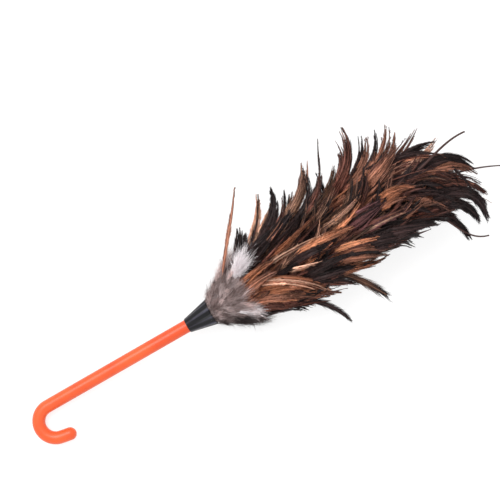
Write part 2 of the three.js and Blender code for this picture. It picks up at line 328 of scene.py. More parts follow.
def ring_paths(root_x, angle, length, reach, flare, swirl, curl):
    """Centrelines (feathers, stations, 3) of feathers bound at root_x, at an angle round the rod.

    reach is how far out the tip gets, as a share of the plume's radius there. flare bends the blade
    outwards, swirl takes it round the rod and curl bends its tip sideways. How steeply a feather rises and
    where its tip is depend on each other, so they are settled in a few rounds.
    """
    spread = np.full_like(root_x, 0.4)
    for _ in range(SPREAD_ROUNDS):
        tip_radius = reach * plume_radius(root_x + length * np.cos(spread), angle + swirl)
        spread = np.arcsin(np.clip((tip_radius - ROD_RADIUS) / length, 0.0, 0.92))
    slope = spread[:, None] + flare[:, None] * (2 * SHARES - 1)
    slope = slope * smoothstep(0, BOUND_SHARE, SHARES)
    step = length[:, None] / (STATIONS - 1)
    halfway = (slope[:, 1:] + slope[:, :-1]) / 2
    zero = np.zeros((len(root_x), 1))
    x = root_x[:, None] + np.concatenate((zero, np.cumsum(np.cos(halfway), axis=1)), axis=1) * step
    r = ROD_RADIUS + np.concatenate((zero, np.cumsum(np.sin(halfway), axis=1)), axis=1) * step
    turn = angle[:, None] + swirl[:, None] * SHARES
    sideways = (curl * length)[:, None] * SHARES ** 2.5
    y = r * np.cos(turn) - sideways * np.sin(turn)
    z = r * np.sin(turn) + sideways * np.cos(turn)
    past = np.clip(x - BEND_START, 0, None) / BEND_LENGTH
    return np.stack((x, y - TIP_BEND * past ** 2, z), axis=-1)


PRESSED_DEPTH = 5 * MM


def laid_down(points):
    """Presses points that would be under the table into the feathers' pressed layer just above it."""
    pressed = points.copy()
    z = points[..., 2]
    squeezed = PRESSED_DEPTH * np.exp(np.minimum(z / PRESSED_DEPTH - 1, 0))
    pressed[..., 2] = np.where(z < PRESSED_DEPTH, squeezed, z)
    return pressed


# ---------------------------------------- feathers

FURTHEST_SHARE = 1.15


def at_share(values, u):
    """Values (feathers, stations, 3) at shares u (feathers, ...) of the length, or a little past it."""
    flat = np.clip(u, 0, FURTHEST_SHARE).reshape(len(u), -1) * (STATIONS - 1)
    low = np.minimum(flat.astype(int), STATIONS - 2)
    part = (flat - low)[..., None]
    row = np.arange(len(u))[:, None]
    found = values[row, low] * (1 - part) + values[row, low + 1] * part
    return found.reshape(*u.shape, 3)


# How strongly the faces at the sides turn up or down, and the height below which they turn down.
FLATNESS = 1.6
UNDERNEATH = -0.3


def blade_frames(paths, roll):
    """Sideways and face directions along feathers, each rolled a bit.

    Their faces look out from the rod, but those at the plume's sides lie flat, face up or down.
    """
    tangent = unit(np.gradient(paths, axis=1))
    axis_point = MOUTH + ((paths - MOUTH) @ AXIS_X)[..., None] * AXIS_X
    outward = unit(paths - axis_point)
    height = outward[..., 2:]
    up_or_down = np.where(height[:, -1:] > UNDERNEATH, 1, -1)
    flatness = FLATNESS * (1 - height ** 2) * up_or_down
    reference = outward + flatness * UP
    face = unit(reference - np.sum(reference * tangent, axis=-1, keepdims=True) * tangent)
    side = np.cross(tangent, face)
    turn = roll[:, None, None]
    return np.cos(turn) * side + np.sin(turn) * face, np.cos(turn) * face - np.sin(turn) * side


CUP = 0.03 / MM
BARB_SPACING = 1.15 * MM
FEWEST_BARBS = 12
LAST_BARB = 0.985
PARTING_CHANCE = 0.2

# Angles of the barbs at a feather's root and tip, their least and greatest length, and the least and
# greatest factor by which their loose tips are drawn out.
BARB_ANGLES = (0.50, 0.22)
BARB_LENGTHS = (1.5 * MM, 17 * MM)
STRETCHES = (0.4, 1.8)

# Shares of a barb's length at its joined and at its loose points, and the width left at the loose ones.
JOINED_SHARES = (0.0, 0.25, 0.5)
LOOSE_SHARES = (0.75, 1.0)
LOOSE_WIDTHS = (0.7, 0.12)


def blade_shape(u):
    """A hackle's half-width along it, as a share of its greatest."""
    return np.interp(u, (0, 0.12, 0.3, 0.5, 0.75, 0.9, 1.0), (0.1, 0.5, 0.9, 1.0, 0.78, 0.42, 0.08))


def feather_tint(u, edge, colours):
    """Colours at shares u of the length and edge (0 shaft, 1 rim) of the width."""
    middle_tint, tip_tint, edge_tint = (c.reshape(len(c), *(1,) * (u.ndim - 1), 3) for c in colours)
    to_edge = (0.85 * np.broadcast_to(edge, u.shape) ** 1.3)[..., None]
    to_tip = smoothstep(0.62, 0.97, u)[..., None]
    tint = middle_tint * (1 - to_edge) + edge_tint * to_edge
    return tint * (1 - to_tip) + tip_tint * to_tip


def vane_quads(vanes, barbs):
    """Quads of vanes: a joined strip along the shaft, and from its rim a loose strip for each barb."""
    columns = len(JOINED_SHARES)
    vane = np.arange(vanes)[:, None]
    barb = np.arange(barbs)[None, :]
    rim = (vane * (barbs + 1) + barb) * columns + columns - 1
    joined_points = vanes * (barbs + 1) * columns
    first = joined_points + (vane * barbs + barb) * 2 * len(LOOSE_SHARES)
    joints = np.stack((rim, rim + columns, first + 1, first), axis=-1).reshape(-1, 4)
    tips = np.stack((first, first + 1, first + 3, first + 2), axis=-1).reshape(-1, 4)
    return np.concatenate((grid_quads(vanes, barbs + 1, columns), joints, tips))


def midway(values):
    """The middle between each barb root's values and the next one's."""
    return (values[:, :, 1:] + values[:, :, :-1]) / 2


def blades(paths, frames, length, half_width, colours, start):
    """Both vanes of each feather, from the share start of its length.

    Neighbouring barbs are joined near the shaft. Their tips are loose, in clumps that part.
    """
    side, face = frames
    feathers = len(paths)
    count = max(int((1 - start) * length.mean() / BARB_SPACING), FEWEST_BARBS)
    shape = (feathers, 2, count + 1)
    spacing = (1 - start) / count
    root_u = np.linspace(start, LAST_BARB, count + 1) + rng.normal(0, 0.2 * spacing, shape)
    angle = np.interp(root_u, (0, 1), BARB_ANGLES) * (1 + rng.normal(0, 0.03, shape))
    wide = half_width[:, None, None] * blade_shape(root_u)
    long = np.clip(wide / np.sin(angle), *BARB_LENGTHS)
    clump = np.cumsum(rng.random(shape) < PARTING_CHANCE, axis=-1)

    def by_clump(spread):
        return np.take_along_axis(rng.normal(0, spread, shape), clump, axis=-1)

    ridge = by_clump(0.10) + rng.normal(0, 0.08, shape)
    shade = by_clump(0.32) + rng.normal(0, 0.2, shape)
    sign = np.array((-1.0, 1.0))[None, :, None, None]

    def spots(t):
        """Points, shares of the feather's length and faces, at shares t of each barb's own length."""
        bent = angle[..., None] * (1 - 0.2 * t)
        across = long[..., None] * t * np.sin(bent)
        u = root_u[..., None] + long[..., None] * t * np.cos(bent) / length[:, None, None, None]
        lift = ridge[..., None] * across - CUP * across ** 2
        outward = at_share(face, u)
        sideways = (sign * across)[..., None] * at_share(side, u)
        return at_share(paths, u) + sideways + lift[..., None] * outward, u, outward

    inner_t = np.array(JOINED_SHARES)
    inner, inner_u, _ = spots(inner_t)
    inner_tint = feather_tint(inner_u, inner_t, colours) * np.exp(shade)[..., None, None]
    outer_t = np.array(LOOSE_SHARES)
    outer, outer_u, outer_face = spots(outer_t)

    def loosely(spread):
        return by_clump(spread)[:, :, 1:, None, None]

    joint = midway(inner[..., -1:, :])
    stretch = 1 + loosely(0.3) + rng.normal(0, 0.15, (feathers, 2, count))[..., None, None]
    loose = ((outer_t - JOINED_SHARES[-1]) / (1 - JOINED_SHARES[-1]))[:, None]
    parting = loosely(0.5 * MM) * loose * at_share(side, outer_u[:, :, 1:])
    lifted = (loosely(0.3 * MM) + 0.1 * MM) * loose * midway(outer_face)
    centre = joint + (midway(outer) - joint) * np.clip(stretch, *STRETCHES) + parting + lifted
    half = (outer[:, :, 1:] - outer[:, :, :-1]) / 2 * np.array(LOOSE_WIDTHS)[:, None]
    outer = np.stack((centre - half, centre + half), axis=-2)
    outer_tint = feather_tint(outer_u[:, :, 1:], outer_t, colours)
    outer_tint = outer_tint * np.exp(midway(shade))[..., None, None]
    outer_tint = np.repeat(outer_tint[..., None, :], 2, axis=-2)
    points = np.concatenate((inner.reshape(-1, 3), outer.reshape(-1, 3)))
    tint = np.concatenate((inner_tint.reshape(-1, 3), outer_tint.reshape(-1, 3)))
    return points, vane_quads(feathers * 2, count), tint


SHAFT_SIDES = 3
SHAFT_HALF_THICKNESS = 0.35 * MM
# How much lighter than its feather's edge a shaft is tinted: a painted highlight for the light that shafts
# catch.
SHAFT_HIGHLIGHT = 1.3

# The share of a feather's length without barbs, and the share of its shaft's thickness left at the end.
BARE_SHARE = 0.14
LONE_BARE_SHARE = 0.05
SHAFT_END = 0.2
LONE_SHAFT_END = 0.5


def shafts(paths, frames, thick, colours, tip=SHAFT_END):
    """The feathers' shafts, of half-thickness thick at the root and the share tip of it at the end."""
    side, face = frames
    feathers = len(paths)
    around = np.arange(SHAFT_SIDES) * 2 * math.pi / SHAFT_SIDES
    ring = np.cos(around)[:, None] * side[:, :, None] + np.sin(around)[:, None] * face[:, :, None]
    taper = np.interp(SHARES, (0, 0.3, 1.0), (1.0, 0.8, tip))[..., None, None]
    points = paths[:, :, None] + thick[:, None, None, None] * taper * ring
    # Painted highlight: each shaft's tint is its feather's edge colour made lighter.
    tint = np.broadcast_to((SHAFT_HIGHLIGHT * colours[2])[:, None, None, :], points.shape)
    return points.reshape(-1, 3), tube_quads(feathers, STATIONS, SHAFT_SIDES), tint.reshape(-1, 3)


def hackles(paths, half_width, roll, colours):
    """Whole feathers on their paths. colours are (feathers, 3) arrays: the middle, the tip, the edge."""
    length = np.linalg.norm(np.diff(paths, axis=1), axis=-1).sum(axis=1)
    frames = blade_frames(paths, roll)
    thick = np.full(len(paths), SHAFT_HALF_THICKNESS)
    return joined([
        blades(paths, frames, length, half_width, colours, BARE_SHARE),
        shafts(paths, frames, thick, colours),
    ])


# ---------------------------------------- plume

# Screen colours of each kind of hackle: along its middle, at its tip and along its edges.
KINDS = {
    "black": ((33, 23, 24), (22, 16, 17), (58, 40, 37)),
    "mahogany": ((86, 51, 43), (46, 29, 27), (120, 76, 64)),
    "plum": ((74, 42, 43), (46, 29, 31), (114, 76, 75)),
    "umber": ((72, 47, 38), (34, 24, 22), (122, 88, 68)),
    "brown": ((130, 83, 64), (68, 45, 38), (168, 115, 93)),
    "russet": ((124, 74, 50), (82, 50, 38), (152, 99, 73)),
    "chestnut": ((161, 97, 65), (112, 68, 49), (198, 141, 109)),
    "tan": ((176, 130, 107), (146, 106, 87), (204, 166, 144)),
    "laced": ((46, 33, 33), (70, 48, 42), (182, 136, 110)),
}

# How much lighter than their kind feathers are on average, and how much they vary, both as logarithms.
LIGHTENING = 0.2
VARIATION = 0.28


def feather_colours(kinds, variation=VARIATION):
    """(middle, tip, edge) colours of feathers of these kinds, each a little different."""
    sets = [np.stack([linear(*KINDS[kind][part]) for kind in kinds]) for part in range(3)]
    own = np.exp(rng.normal(LIGHTENING, variation, (len(kinds), 1)))
    return [colour * own for colour in sets]


# How often each kind turns up in the rings, in most places and in three parts of the plume.
EVERYWHERE = {"black": 0.26, "mahogany": 0.32, "brown": 0.22, "chestnut": 0.10, "tan": 0.03, "laced": 0.07}
RUFFLED_BASE = {"black": 0.60, "mahogany": 0.20, "brown": 0.08, "laced": 0.12}
SMOOTH_END = {"black": 0.50, "mahogany": 0.38, "brown": 0.12}
SMOOTH_BASE = {"chestnut": 0.22, "russet": 0.34, "brown": 0.26, "mahogany": 0.14, "tan": 0.04}


def lock_kind(x, angle):
    """The kind of most feathers of a lock whose tip is at x and angle."""
    ruffled = np.cos(angle) > 0.2
    smooth = np.cos(angle) < -0.3
    chances = EVERYWHERE
    if ruffled and x < 100 * MM:
        chances = RUFFLED_BASE
    if smooth and x > 150 * MM:
        chances = SMOOTH_END
    if smooth and x < 110 * MM:
        chances = SMOOTH_BASE
    return rng.choice(list(chances), p=list(chances.values()))


LONGEST = 1.04
ROLL_OF_LOCKS = 0.3
ROLL_IN_LOCK = 0.25
WIDTHS_IN_LOCK = (0.8, 1.2)


def lock_feathers(locks, each, spread, wander, shortest):
    """Paths of each lock's feathers (locks, stations, 3): spread out at first, together at their tips.

    shortest is the share of the lock's length that its shortest feathers have. wander is how far their
    tips stray from each other.
    """
    total = len(locks) * each
    whole = np.repeat(locks, each, axis=0)
    cut = rng.uniform(shortest, LONGEST, total)[:, None]
    paths = at_share(whole, SHARES * cut)
    tangent = unit(np.gradient(paths, axis=1))
    sideways = unit(np.cross(tangent, UP) + 1e-6)
    upward = np.cross(sideways, tangent)
    open_share = smoothstep(0, 0.3, SHARES) * (1 - 0.78 * SHARES ** 1.5)
    offset = rng.normal(0, 1, (total, 2, 1, 1)) * open_share[..., None][:, None]
    drift = rng.normal(0, wander, (total, 1, 1)) * (SHARES ** 2)[..., None]
    return paths + spread * (offset[:, 0] * sideways + 0.5 * offset[:, 1] * upward) + drift * sideways


def add_locks(name, locks, kinds, ring, pieces, each, spread, half_width, strays, wander, shortest):
    """Feathers along locks (locks, stations, 3) in the duster's axes, split into pieces by lock.

    Each lock has one kind of feather, apart from its share of strays. ring is the CAD node and the slot;
    the slot is not used.
    """
    stands_for, slot = ring
    paths = laid_down(placed(lock_feathers(locks, each, spread, wander, shortest)))
    total = len(paths)
    own_kinds = []
    for kind, lock in zip(kinds, locks):
        x, y, z = lock[-1]
        turn = math.atan2(z, y)
        own_kinds += [lock_kind(x, turn) if rng.random() < strays else kind for _ in range(each)]
    colours = feather_colours(own_kinds)
    roll = np.repeat(rng.normal(0, ROLL_OF_LOCKS, len(locks)), each) + rng.normal(0, ROLL_IN_LOCK, total)
    widths = np.broadcast_to(half_width, total) * rng.uniform(*WIDTHS_IN_LOCK, total)
    part_of = np.repeat(np.arange(len(locks)) * pieces // len(locks), each)
    for part in range(pieces):
        chosen = part_of == part
        own_colours = [colour[chosen] for colour in colours]
        points, quads, tint = hackles(paths[chosen], widths[chosen], roll[chosen], own_colours)
        own_name = f"{name}_{part + 1}"
        mesh_piece(own_name, laid_down(points), quads, HACKLE_MATERIAL, tint, (stands_for,))


# The distance between rings, and where the first one is bound, also in whole millimetres.
PITCH_MM = 24
FIRST_ROOT_MM = -6
HACKLE_PITCH = PITCH_MM * MM
FIRST_ROOT_X = FIRST_ROOT_MM * MM
TIP_ROOT_X = 181 * MM
PLUME_END_X = 258 * MM
TIERS = 9
LOCKS = 22
FEATHERS_PER_LOCK = 3
PIECES_PER_TIER = 4

# Ranges that the rings' locks are drawn from. All but the last are in millimetres.
RING_LENGTHS = (66, 116)
RING_ROOT_SHIFTS = (-7, 7)
RING_END_GAPS = (14, 40)
RING_REACHES = (0.42, 0.96)


def tier_names(tier):
    """The CAD node and the slot of the hackles in this ring, counted from 0."""
    if tier == TIERS - 1:
        return "tip_tuft", "dark_hackle"
    return f"hackle_tier_{tier + 1}", "dark_hackle" if tier % 2 else "chestnut_hackle"


def hackle_tier(tier):
    """One ring of hackles, in locks all round the rod."""
    root_x = TIP_ROOT_X if tier == TIERS - 1 else FIRST_ROOT_X + tier * HACKLE_PITCH
    angle_step = 2 * math.pi / LOCKS
    angle = (np.arange(LOCKS) + rng.uniform(-0.35, 0.35, LOCKS) + 0.5 * (tier % 2)) * angle_step
    ruffled = smoothstep(-0.1, 0.9, np.cos(angle))
    length = rng.uniform(*RING_LENGTHS, LOCKS) * MM
    root = root_x + rng.uniform(*RING_ROOT_SHIFTS, LOCKS) * MM
    end = PLUME_END_X - rng.uniform(*RING_END_GAPS, LOCKS) * MM
    length = np.minimum(length, (end - root) / 0.95)
    reach = rng.uniform(*RING_REACHES, LOCKS) + 0.25 * smoothstep(0.2, 0.8, -np.sin(angle))
    flare = rng.normal(0.14, 0.16, LOCKS) + 0.34 * ruffled
    lean = -0.45 * np.clip(np.sin(angle), 0, 1) * (np.cos(angle) > -0.6)
    swirl = rng.normal(0, 0.10, LOCKS) + lean
    curl = rng.normal(0, 0.06, LOCKS)
    locks = ring_paths(root, angle, length, reach, flare, swirl, curl)
    kinds = [lock_kind(x, around) for x, around in zip(locks[:, -1, 0], angle)]
    add_locks(
        f"hackles_{tier + 1}", locks, kinds, tier_names(tier), PIECES_PER_TIER, each=FEATHERS_PER_LOCK,
        spread=4 * MM, half_width=3.4 * MM, strays=0.3, wander=3.2 * MM, shortest=0.72,
    )


TIP_CORE_LOCKS = 18
CORE_ROOT_SHIFTS = (-4, 4)
CORE_LENGTHS = (46, 70)
CORE_REACHES = (0.05, 0.5)


def tip_core():
    """The feathers in the middle of the tip tuft, which hide the rod's end."""
    count = TIP_CORE_LOCKS
    angle = np.arange(count) * 2 * math.pi / count
    root = TIP_ROOT_X + rng.uniform(*CORE_ROOT_SHIFTS, count) * MM
    length = rng.uniform(*CORE_LENGTHS, count) * MM
    reach = rng.uniform(*CORE_REACHES, count)
    flare = rng.normal(0.1, 0.2, count)
    swirl = rng.normal(0, 0.3, count)
    curl = rng.normal(0, 0.08, count)
    locks = ring_paths(root, angle, length, reach, flare, swirl, curl)
    kinds = rng.choice(("black", "umber", "mahogany"), count)
    add_locks(
        "tip_core", locks, kinds, tier_names(TIERS - 1), 1, each=FEATHERS_PER_LOCK,
        spread=4 * MM, half_width=3.2 * MM, strays=0.1, wander=3 * MM, shortest=0.75,
    )


# Locks that show on the top of the plume: knots of (x, y) from root to tip (mm), kind, feathers, spread,
# half-width (mm), and the height of the tip as a share of the plume's.
TOP_LOCKS = [
    # The ruffled side, from the down to the tips.
    (((20, 12), (42, 28), (52, 41), (57, 53)), "black", 8, 4.0, 2.6, 0.5),
    (((30, 14), (60, 34), (74, 48), (87, 68)), "tan", 14, 3.6, 1.4, 0.45),
    (((22, 14), (42, 27), (54, 37), (62, 47)), "black", 9, 3.8, 3.0, 0.6),
    (((34, 14), (68, 33), (86, 43), (99, 67)), "black", 15, 2.6, 3.2, 0.5),
    (((44, 14), (76, 32), (94, 39), (104, 53)), "mahogany", 8, 2.5, 1.7, 0.5),
    (((52, 12), (90, 34), (114, 47), (134, 72)), "laced", 14, 2.6, 3.2, 0.5),
    (((60, 14), (98, 32), (120, 41), (131, 60)), "black", 9, 2.7, 1.9, 0.5),
    (((76, 12), (112, 32), (134, 45), (143, 56)), "mahogany", 9, 4.5, 2.6, 0.5),
    (((88, 10), (122, 30), (148, 45), (157, 56)), "umber", 9, 4.5, 2.6, 0.5),
    (((98, 14), (136, 36), (160, 50), (167, 78)), "mahogany", 10, 2.2, 2.2, 0.5),
    (((102, 12), (140, 34), (166, 52), (177, 80)), "mahogany", 20, 4.6, 3.4, 0.55),
    (((112, 12), (150, 34), (176, 48), (187, 65)), "black", 9, 2.9, 1.9, 0.5),
    (((118, 12), (156, 33), (182, 47), (193, 63)), "brown", 10, 3.4, 2.1, 0.5),
    (((126, 12), (164, 34), (190, 46), (201, 64)), "black", 8, 2.0, 1.7, 0.5),
    (((134, 12), (170, 32), (196, 43), (211, 61)), "brown", 10, 3.4, 2.2, 0.5),
    (((140, 10), (176, 28), (202, 40), (216, 55)), "brown", 10, 3.8, 2.6, 0.55),
    (((150, 8), (186, 26), (214, 38), (232, 49)), "mahogany", 10, 3.4, 2.2, 0.6),
    (((156, 8), (190, 24), (216, 34), (240, 31)), "black", 10, 2.9, 2.4, 0.7),
    (((162, 6), (196, 18), (220, 23), (243, 31)), "tan", 10, 3.4, 2.1, 0.75),
    # The last feathers, which hang over to the smooth side.
    (((176, 4), (212, 15), (240, 15), (259, -3)), "black", 18, 3.0, 3.6, 0.9),
    (((176, 2), (210, 9), (238, 8), (259, -9)), "brown", 16, 3.1, 2.6, 0.85),
    (((176, 0), (214, 4), (242, -3), (258, -20)), "mahogany", 12, 2.5, 1.7, 0.8),
    (((178, -2), (216, 0), (243, -9), (257, -28)), "mahogany", 13, 2.7, 2.1, 0.75),
    (((174, -2), (214, -7), (242, -18), (249, -47)), "black", 18, 3.0, 4.0, 0.7),
    (((172, -4), (208, -13), (233, -25), (241, -46)), "black", 18, 3.2, 4.0, 0.65),
    (((168, -6), (200, -18), (216, -29), (226, -55)), "black", 14, 2.2, 3.8, 0.6),
    (((180, -4), (222, -12), (244, -22), (259, -41)), "tan", 4, 1.8, 1.0, 0.45),
    # The smooth side.
    (((100, -6), (140, -15), (168, -24), (182, -38)), "black", 14, 3.6, 3.0, 0.95),
    (((108, -4), (146, -12), (176, -21), (193, -34)), "black", 14, 4.0, 3.0, 1.0),
    (((124, -4), (160, -12), (188, -20), (210, -30)), "black", 16, 4.6, 3.2, 1.0),
    (((90, -4), (122, -13), (142, -22), (158, -33)), "brown", 14, 4.2, 2.8, 0.95),
    (((84, -6), (112, -18), (132, -27), (150, -32)), "russet", 12, 3.8, 2.8, 0.9),
    (((98, -6), (128, -17), (150, -25), (170, -31)), "umber", 12, 3.8, 2.6, 0.9),
    (((56, -6), (86, -18), (106, -29), (123, -43)), "mahogany", 13, 4.0, 2.9, 0.5),
    (((16, -4), (50, -12), (78, -23), (106, -40)), "russet", 18, 4.0, 2.6, 0.85),
    (((14, -6), (46, -15), (70, -26), (95, -38)), "mahogany", 18, 4.0, 2.6, 0.8),
    (((16, -1), (46, -4), (72, -12), (100, -34)), "russet", 16, 3.4, 2.4, 1.04),
    (((16, -3), (42, -9), (64, -17), (86, -30)), "brown", 16, 3.8, 2.4, 1.0),
    (((14, -8), (34, -15), (54, -22), (72, -30)), "mahogany", 13, 3.4, 2.2, 0.85),
    (((14, 8), (46, 2), (74, -9), (99, -34)), "tan", 5, 1.2, 1.0, 1.15),
    (((14, -8), (40, -20), (60, -28), (76, -42)), "black", 10, 2.9, 2.1, 0.4),
    (((20, -10), (48, -22), (66, -29), (82, -40)), "mahogany", 9, 2.9, 1.9, 0.35),
    # Those that stand out on the top, along the middle.
    (((20, 12), (44, 22), (66, 29), (88, 36)), "black", 16, 4.5, 2.9, 1.02),
    (((34, 14), (60, 24), (84, 32), (108, 42)), "black", 12, 3.6, 2.8, 1.0),
    (((16, 3), (34, 7), (52, 11), (72, 13)), "russet", 13, 2.9, 2.4, 1.10),
    (((14, 0), (34, 2), (52, 4), (70, 3)), "brown", 9, 2.7, 2.2, 1.06),
    (((40, 12), (66, 18), (92, 25), (120, 38)), "black", 12, 3.2, 2.4, 1.05),
    (((34, 8), (62, 13), (92, 19), (124, 28)), "russet", 10, 2.7, 2.0, 1.08),
    (((44, 16), (66, 23), (84, 30), (100, 39)), "brown", 2, 2.4, 0.8, 1.06),
    (((34, 5), (60, 10), (90, 12), (118, 10)), "tan", 4, 2.2, 1.2, 1.10),
    (((40, 5), (76, 8), (110, 8), (146, 4)), "chestnut", 13, 2.2, 2.6, 1.09),
    (((50, 1), (70, 2), (92, 3), (124, -1)), "black", 10, 1.8, 2.2, 1.11),
    (((64, 0), (78, -2), (92, -5), (108, -9)), "tan", 5, 1.7, 1.1, 1.2),
    (((58, -4), (84, -9), (108, -12), (134, -15)), "black", 12, 2.9, 2.6, 1.07),
    (((62, -8), (86, -15), (106, -20), (130, -27)), "black", 12, 3.6, 2.6, 1.02),
    (((92, 8), (118, 12), (142, 16), (166, 25)), "laced", 8, 2.0, 2.1, 1.09),
    (((98, 3), (118, 5), (140, 9), (160, 17)), "chestnut", 6, 1.8, 2.2, 1.10),
    (((92, -2), (118, -6), (142, -11), (163, -18)), "chestnut", 5, 1.8, 1.9, 1.06),
    (((152, 6), (172, 10), (189, 12), (207, 7)), "russet", 10, 2.9, 2.4, 1.08),
    (((150, 3), (166, 4), (182, 5), (198, 3)), "russet", 6, 2.5, 2.2, 1.08),
    (((112, 0), (136, 3), (160, 6), (180, 9)), "plum", 16, 4.8, 1.8, 1.07),
    (((118, -3), (146, -4), (170, -5), (194, -8)), "plum", 12, 4.6, 1.9, 1.06),
    (((100, 7), (122, 14), (142, 19), (160, 23)), "chestnut", 4, 1.3, 1.4, 1.10),
    (((98, -4), (120, -9), (142, -16), (160, -27)), "brown", 10, 3.4, 2.4, 1.0),
    (((136, 14), (162, 24), (188, 34), (212, 44)), "brown", 12, 3.6, 2.6, 0.98),
    # One more of the ruffled side.
    (((34, 14), (60, 30), (78, 42), (92, 55)), "tan", 9, 3.6, 2.0, 0.4),
    # Those underneath, which fill the plume between the rod and the locks that hang over.
    (((118, -6), (150, -14), (178, -22), (200, -28)), "mahogany", 14, 5.0, 3.2, 0.6),
    (((136, -6), (166, -14), (192, -21), (214, -27)), "black", 14, 5.0, 3.2, 0.6),
    (((150, -4), (180, -10), (206, -16), (228, -24)), "mahogany", 14, 5.0, 3.2, 0.6),
    (((130, 4), (160, 6), (190, 3), (222, -5)), "black", 14, 5.0, 3.2, 0.55),
    (((136, 4), (164, 12), (192, 14), (222, 12)), "mahogany", 14, 5.0, 3.2, 0.45),
]


def top_height(x, y):
    """How high the plume's surface is above the rod, over x and y."""
    side = np.where(y > 0, np.interp(x, OUTLINE_X, RUFFLED_SIDE), np.interp(x, OUTLINE_X, SMOOTH_SIDE))
    return np.interp(x, OUTLINE_X, TOP_SIDE) * np.sqrt(np.clip(1 - (y / side) ** 2, 0.05, 1))


def path_through(knots):
    """A smooth line through knots (mm), at the feathers' stations."""
    knots = np.array(knots, float) * MM
    distance = np.concatenate(([0], np.cumsum(np.linalg.norm(np.diff(knots, axis=0), axis=1))))
    fits = [np.polyfit(distance / distance[-1], column, min(len(knots) - 1, 3)) for column in knots.T]
    return np.stack([np.polyval(fit, SHARES[0]) for fit in fits], axis=-1)


def top_locks():
    """The locks of TOP_LOCKS, one piece each."""
    for number, (knots, kind, each, spread, half_width, height) in enumerate(TOP_LOCKS):
        line = path_through(knots)
        rise = smoothstep(-0.1, 0.7, SHARES[0])
        z = ROD_RADIUS + rise * (height * top_height(line[:, 0], line[:, 1]) - ROD_RADIUS)
        lock = np.column_stack((line, z))[None]
        tier = int(np.clip(round((knots[0][0] - FIRST_ROOT_MM) / PITCH_MM), 0, TIERS - 1))
        add_locks(
            f"lock_{number + 1}", lock, [kind], tier_names(tier), 1, each=each,
            spread=spread * MM, half_width=half_width * MM, strays=0.04 if kind == "black" else 0.12,
            wander=1.2 * MM, shortest=0.84,
        )


# The kinds that prevail in parts of the top: x range, y range (mm), kinds.
TOP_ZONES = [
    ((0, 94), (17, 60), ("black", "black", "black", "black", "umber")),
    ((0, 64), (-3, 17), ("russet", "brown", "mahogany")),
    ((64, 112), (10, 22), ("laced", "brown", "mahogany")),
    ((64, 104), (-2, 5), ("black", "black", "mahogany")),
    ((64, 148), (4, 13), ("chestnut", "chestnut", "russet", "brown")),
    ((0, 96), (-60, -4), ("chestnut", "russet", "brown", "mahogany")),
    ((96, 132), (-60, -3), ("black", "mahogany", "black")),
    ((132, 164), (-60, -6), ("brown", "russet", "brown")),
    ((128, 164), (12, 25), ("laced", "mahogany", "brown", "black")),
    ((104, 182), (25, 90), ("mahogany", "black", "umber", "umber", "black", "laced")),
    ((182, 222), (26, 90), ("brown", "mahogany", "russet", "brown")),
    ((148, 182), (-6, 15), ("plum", "umber", "mahogany", "black")),
    ((176, 208), (2, 14), ("chestnut", "russet", "brown", "mahogany")),
    ((164, 220), (-60, -11), ("black", "black", "mahogany")),
    ((148, 206), (-11, 2), ("plum", "mahogany", "brown")),
    ((206, 270), (-60, 2), ("mahogany", "black", "black", "brown")),
    ((208, 270), (2, 30), ("black", "brown", "mahogany")),
]


def top_kind(x, y):
    """The kind of a short lock whose tip is over x and y."""
    for (from_x, to_x), (from_y, to_y), kinds in TOP_ZONES:
        if from_x * MM <= x < to_x * MM and from_y * MM <= y < to_y * MM:
            return rng.choice(kinds)
    return rng.choice(("mahogany", "black", "brown"))


def flow(x, y):
    """The direction in which the top's feathers lie over x and y, in radians from the rod towards +y."""
    ruffled = np.clip(y / np.interp(x, OUTLINE_X, RUFFLED_SIDE), 0, 1)
    smooth = np.clip(-y / np.interp(x, OUTLINE_X, SMOOTH_SIDE), 0, 1)
    lean = np.radians(10 + 50 * ruffled ** 1.1 - 28 * smooth)
    return lean - np.radians(50) * smoothstep(190 * MM, 262 * MM, x)


SHINGLE_PITCH = 9.5 * MM
SHINGLE_FIRST_X = 62 * MM
SHINGLE_LAST_X = 244 * MM
CHESTNUT_END_X = 104 * MM
SHINGLE_RUFFLED_SHARE = 0.68
SHINGLE_SMOOTH_SHARE = 0.92
FEATHERS_PER_SHINGLE = 4
FIRST_TIER_TIPS_X = 60 * MM

# A short lock bends once: the part of its length on either side of the bend, how much less it leans near
# the root, and the height of its root as a share of the plume's. Its length (mm) and tip's height vary.
TIP_PART = 0.45
ROOT_PART = 0.55
LEAN_AT_ROOT = 0.45
ROOT_SHARE = 0.3
SHINGLE_LENGTHS = (78, 104)
SHINGLE_HEIGHTS = (0.92, 1.1)


def within(place, share):
    """The place (x, y), moved in y to stay inside this share of the plume's outline."""
    x, y = place
    low = -share * np.interp(x, OUTLINE_X, SMOOTH_SIDE)
    high = share * np.interp(x, OUTLINE_X, RUFFLED_SIDE)
    return np.array((x, np.clip(y, low, high)))


